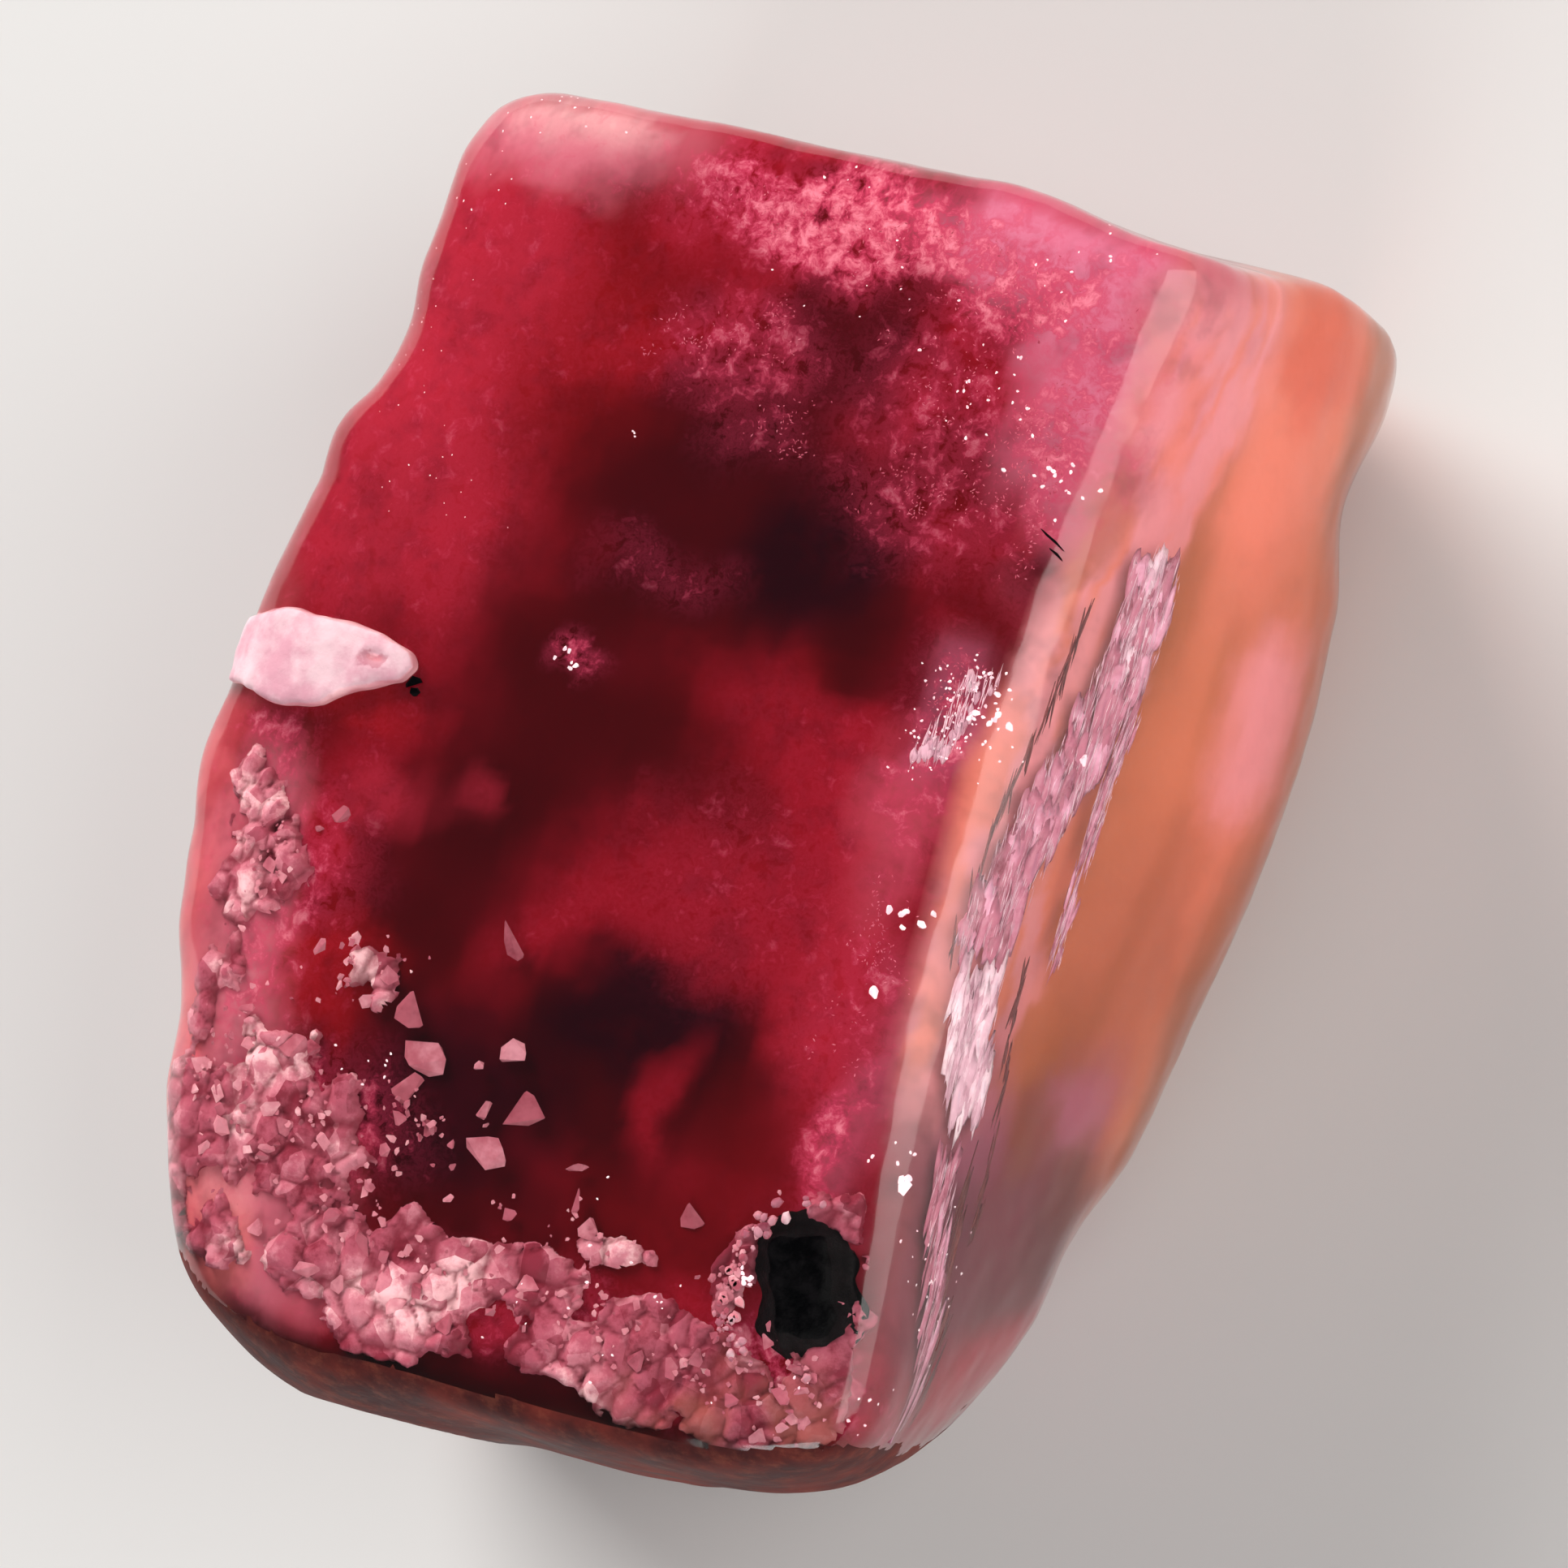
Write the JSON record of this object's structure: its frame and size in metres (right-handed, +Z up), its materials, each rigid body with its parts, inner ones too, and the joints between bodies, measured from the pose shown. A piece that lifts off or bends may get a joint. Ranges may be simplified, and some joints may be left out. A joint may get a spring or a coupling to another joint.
{
  "type": "red beryl crystal",
  "caption": "Stubby translucent red crystal with rounded edges, lying on a flat face, with a black grain, a pale chip and a pale granular crust set into its upper face.",
  "frame": {"origin": "centre of the crystal's outline on the surface that it lies on", "axes": "+Y along the prism, from the rounded lower end with the crust to the flat upper end; +Z up, out of the broad face that looks up; +X towards the clear right flank"},
  "size_m": [0.0092, 0.012, 0.0058],
  "materials": {
    "red_beryl": "glassy, translucent, clouded in places",
    "bixbyite": "submetallic black",
    "feldspar": "milky, slightly glossy",
    "matrix": "granular, pale grains in a clear red ground"
  },
  "bodies": {
    "root": {"beryl_crystal": "red_beryl", "bixbyite_crystal": "bixbyite", "feldspar_chip": "feldspar", "matrix_crust": "matrix"}
  },
  "joints": []
}
